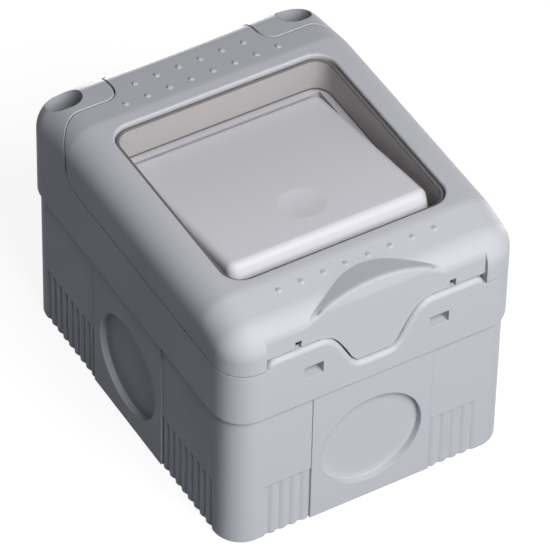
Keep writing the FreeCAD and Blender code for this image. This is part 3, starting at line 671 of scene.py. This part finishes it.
@dataclass
class Enclosure(SubAssembly):
    """Back box and front frame with their gaskets and screws."""

    finishes: dict[str, Finish] = field(
        default_factory=lambda: {
            "back_box": Finish.HOUSING,
            "front_frame": Finish.HOUSING,
            "box_gasket": Finish.GASKET,
            "frame_screws": Finish.PLATED,
            "screw_seals": Finish.GASKET,
            "hinge_pin_left": Finish.PLATED,
            "hinge_pin_right": Finish.PLATED,
        }
    )


@dataclass
class Cover(SubAssembly):
    """Hinged lid with its soft window sleeve, and the ejector marks on its sloping underside."""

    finishes: dict[str, Finish] = field(
        default_factory=lambda: {"lid": Finish.LID, "window_seal": Finish.SLEEVE}
    )
    mark_radius: float = 1.3 * MM
    mark_rim: float = 0.2 * MM
    mark_proud: float = 0.15 * MM
    mark_root: float = 0.2 * MM
    rim_outer_run: float = 0.08 * MM
    rim_outer_drop: float = 0.06 * MM
    rim_inner_run: float = 0.04 * MM
    face_edge_proud: float = 0.0525 * MM
    face_middle_proud: float = 0.045 * MM
    mark_sides: int = 40
    roof_z: float = 62.3 * MM
    front_break_y: float = -32.0 * MM
    front_slope: float = math.radians(13.8)
    front_row_y: float = -35.9 * MM
    front_row_x: tuple[float, ...] = (-15 * MM, 0.0, 15 * MM)
    back_break_y: float = 26.0 * MM
    back_slope: float = math.radians(-9.7)
    back_row_y: float = 30.4 * MM
    back_row_x: tuple[float, ...] = (-21 * MM, -7 * MM, 7 * MM, 21 * MM)

    def roof_places(self) -> list[Matrix]:
        """Finds where the marks stand on the sloping underside of the lid.

        Returns:
            One placement for each mark, front row first.
        """
        places = []
        rows = (
            (self.front_row_x, self.front_row_y, self.front_break_y, self.front_slope),
            (self.back_row_x, self.back_row_y, self.back_break_y, self.back_slope),
        )
        for row_x, y, break_y, slope in rows:
            z = self.roof_z - abs(y - break_y) * abs(math.tan(slope))
            for x in row_x:
                places.append(Matrix.Translation((x, y, z)) @ Matrix.Rotation(slope, 4, "X"))
        return places

    def build(self, wardrobe: Wardrobe) -> None:
        """Adds the ejector marks that moulding leaves under the lid.

        Args:
            wardrobe: the materials to take from.
        """
        inner = self.mark_radius - self.mark_rim
        profile = [
            (0.0, self.mark_root),
            (self.mark_radius, self.mark_root),
            (self.mark_radius, self.rim_outer_drop - self.mark_proud),
            (self.mark_radius - self.rim_outer_run, -self.mark_proud),
            (inner + self.rim_inner_run, -self.mark_proud),
            (inner, -self.face_edge_proud),
            (0.0, -self.face_middle_proud),
        ]
        marks = turned_mesh("lid_ejector_marks", profile, self.roof_places(), self.mark_sides)
        marks.data.materials.append(wardrobe.materials[Finish.HOUSING])
        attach(marks, "cover")


@dataclass
class RockerGroup(SubAssembly):
    """Face plate, rocker and what turns with it."""

    finishes: dict[str, Finish] = field(
        default_factory=lambda: {
            "face_plate": Finish.PLATE,
            "rocker": Finish.ROCKER,
            "plate_collar": Finish.GASKET,
            "rocker_pins": Finish.PLATED,
            "plunger": Finish.INSERT,
            "plunger_spring": Finish.PLATED,
        }
    )


@dataclass
class SwitchInsert(SubAssembly):
    """Contact block, strap and terminals."""

    finishes: dict[str, Finish] = field(
        default_factory=lambda: {
            "switch_body": Finish.INSERT,
            "support_strap": Finish.PLATED,
            "strap_screws": Finish.PLATED,
            "contact_arm": Finish.BRASS,
            "common_terminal": Finish.BRASS,
            "way_one_terminal": Finish.BRASS,
            "way_two_terminal": Finish.BRASS,
            "terminal_screws": Finish.BRASS,
        }
    )


@dataclass(frozen=True)
class Lamp:
    """A square soft lamp that faces the switch.

    Attributes:
        name: the lamp's name.
        way: direction from the switch to the lamp.
        power: power in watts.
        far: distance in metres.
        size: length of an edge in metres.
    """

    name: str
    way: tuple[float, float, float]
    power: float
    far: float
    size: float

    def hang(self, target: Vector) -> None:
        """Hangs the lamp.

        Args:
            target: the point that the lamp faces.
        """
        data = bpy.data.lights.new(self.name, "AREA")
        data.size = self.size
        data.energy = self.power
        lamp = placed(self.name, data)
        way = Vector(self.way).normalized()
        lamp.location = target + way * self.far
        lamp.rotation_euler = way.to_track_quat("Z", "Y").to_euler()


LAMPS: tuple[Lamp, ...] = (
    Lamp("front_low", way=(0.15, -0.98, 0.05), power=5.8, far=1.2, size=0.6),
    Lamp("front_high", way=(0.03, -0.67, 0.74), power=8.9, far=0.9, size=0.45),
    Lamp("back_fill", way=(0.3, 0.95, -0.09), power=0.4, far=0.25, size=0.03),
    Lamp("right_fill", way=(0.97, 0.2, -0.09), power=0.2, far=0.25, size=0.03),
)


@dataclass
class Studio:
    """Floor, light and camera around the switch; the camera is fitted to the photograph."""

    image_px: int = 550
    sensor_mm: float = 36.0
    focal_px: float = 5097.15
    azimuth: float = math.radians(-31.26)
    elevation: float = math.radians(44.43)
    roll: float = math.radians(1.38)
    distance: float = 1116.48 * MM
    target: tuple[float, float, float] = (0.43 * MM, -2.17 * MM, 30 * MM)
    floor_half: float = 4.0
    floor_gap: float = 0.2 * MM
    floor_colour: Rgb8 = (236, 237, 240)
    bounce_colour: Rgb8 = (64, 75, 94)
    ambient: float = 0.026
    ambient_colour: Rgb8 = (218, 234, 255)
    glow_share: float = 0.8
    glow_strength: float = 1.115

    @staticmethod
    def seen_rays(tree: bpy.types.NodeTree) -> bpy.types.NodeSocket:
        """Tells the rays of the camera, mirrors and glass from those that only carry light.

        Args:
            tree: nodes of the floor's material or of the world.

        Returns:
            A socket that is 1 for what the camera, mirrors and glass see.
        """
        path = tree.nodes.new("ShaderNodeLightPath")
        seen = path.outputs["Is Camera Ray"]
        for label in ("Is Glossy Ray", "Is Transmission Ray"):
            seen = GroupMaker.maths(tree, "MAXIMUM", seen, path.outputs[label])
        return seen

    def white_to_camera(
        self, tree: bpy.types.NodeTree, plain: bpy.types.NodeSocket, share: float, strength: float
    ) -> bpy.types.NodeSocket:
        """Mixes a white glow for what the camera, mirrors and glass see with a plain shader.

        Args:
            tree: nodes of the floor's material or of the world.
            plain: the shader's output socket for all other rays.
            share: how much of the glow the camera sees.
            strength: brightness of the glow.

        Returns:
            The mixed shader's output socket.
        """
        on_floor = isinstance(plain.node, bpy.types.ShaderNodeBsdfDiffuse)
        glow = tree.nodes.new("ShaderNodeEmission" if on_floor else "ShaderNodeBackground")
        glow.inputs["Color"].default_value = WHITE
        glow.inputs["Strength"].default_value = strength
        mix = tree.nodes.new("ShaderNodeMixShader")
        fac = GroupMaker.maths(tree, "MULTIPLY", self.seen_rays(tree), share)
        tree.links.new(fac, mix.inputs["Fac"])
        tree.links.new(plain, mix.inputs[1])
        tree.links.new(glow.outputs[0], mix.inputs[2])
        return mix.outputs[0]

    def floor(self) -> None:
        """Lays a pale floor that keeps the switch's shadow and throws little light back."""
        mesh = bpy.data.meshes.new("floor")
        work = bmesh.new()
        bmesh.ops.create_grid(work, x_segments=1, y_segments=1, size=self.floor_half)
        work.to_mesh(mesh)
        work.free()
        plane = placed("floor", mesh)
        plane.location.z = -self.floor_gap
        material = bpy.data.materials.new("floor_pale")
        material.use_nodes = True
        tree = material.node_tree
        tree.nodes.remove(tree.nodes["Principled BSDF"])
        matt = tree.nodes.new("ShaderNodeBsdfDiffuse")
        thrown, shown = linear(self.bounce_colour), linear(self.floor_colour)
        colour = mixed_colour(tree, self.seen_rays(tree), thrown, shown)
        tree.links.new(colour, matt.inputs["Color"])
        white = self.white_to_camera(tree, matt.outputs[0], self.glow_share, self.glow_strength)
        tree.links.new(white, tree.nodes["Material Output"].inputs["Surface"])
        mesh.materials.append(material)

    def world(self) -> None:
        """Sets an even dim surround that is white to the camera."""
        world = bpy.data.worlds.new("surround")
        bpy.context.scene.world = world
        world.use_nodes = True
        tree = world.node_tree
        plain = tree.nodes["Background"]
        plain.inputs["Color"].default_value = linear(self.ambient_colour)
        plain.inputs["Strength"].default_value = self.ambient
        white = self.white_to_camera(tree, plain.outputs[0], share=1.0, strength=1.0)
        tree.links.new(white, tree.nodes["World Output"].inputs["Surface"])

    def camera(self) -> None:
        """Places the camera at the photograph's viewing angle."""
        sin_a = math.sin(self.azimuth)
        cos_a = math.cos(self.azimuth)
        cos_e = math.cos(self.elevation)
        away = Vector((sin_a * cos_e, -cos_a * cos_e, math.sin(self.elevation)))
        right = Vector((cos_a, sin_a, 0))
        up = away.cross(right)
        turned = right * math.cos(self.roll) + up * math.sin(self.roll)
        upright = up * math.cos(self.roll) - right * math.sin(self.roll)
        data = bpy.data.cameras.new("viewpoint")
        data.sensor_width = self.sensor_mm
        data.lens = self.sensor_mm * self.focal_px / self.image_px
        camera = placed("viewpoint", data)
        turn = Matrix((turned, upright, away)).transposed().to_4x4()
        camera.matrix_world = Matrix.Translation(Vector(self.target) + away * self.distance) @ turn
        bpy.context.scene.camera = camera

    def build(self) -> None:
        """Sets up the whole studio."""
        bpy.context.scene.view_settings.view_transform = "Standard"
        self.floor()
        self.world()
        for lamp in LAMPS:
            lamp.hang(Vector(self.target))
        self.camera()
        LOG.info("studio is set")


def main() -> None:
    """Dresses the sub-assemblies in order and sets the studio."""
    logging.basicConfig(level=logging.INFO, format="%(name)s: %(message)s")
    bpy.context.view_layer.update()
    wardrobe = Wardrobe(COATINGS)
    for assembly in (Enclosure(), Cover(), RockerGroup(), SwitchInsert()):
        assembly.dress(wardrobe)
        assembly.build(wardrobe)
    Studio().build()


if __name__ == "__main__":
    main()
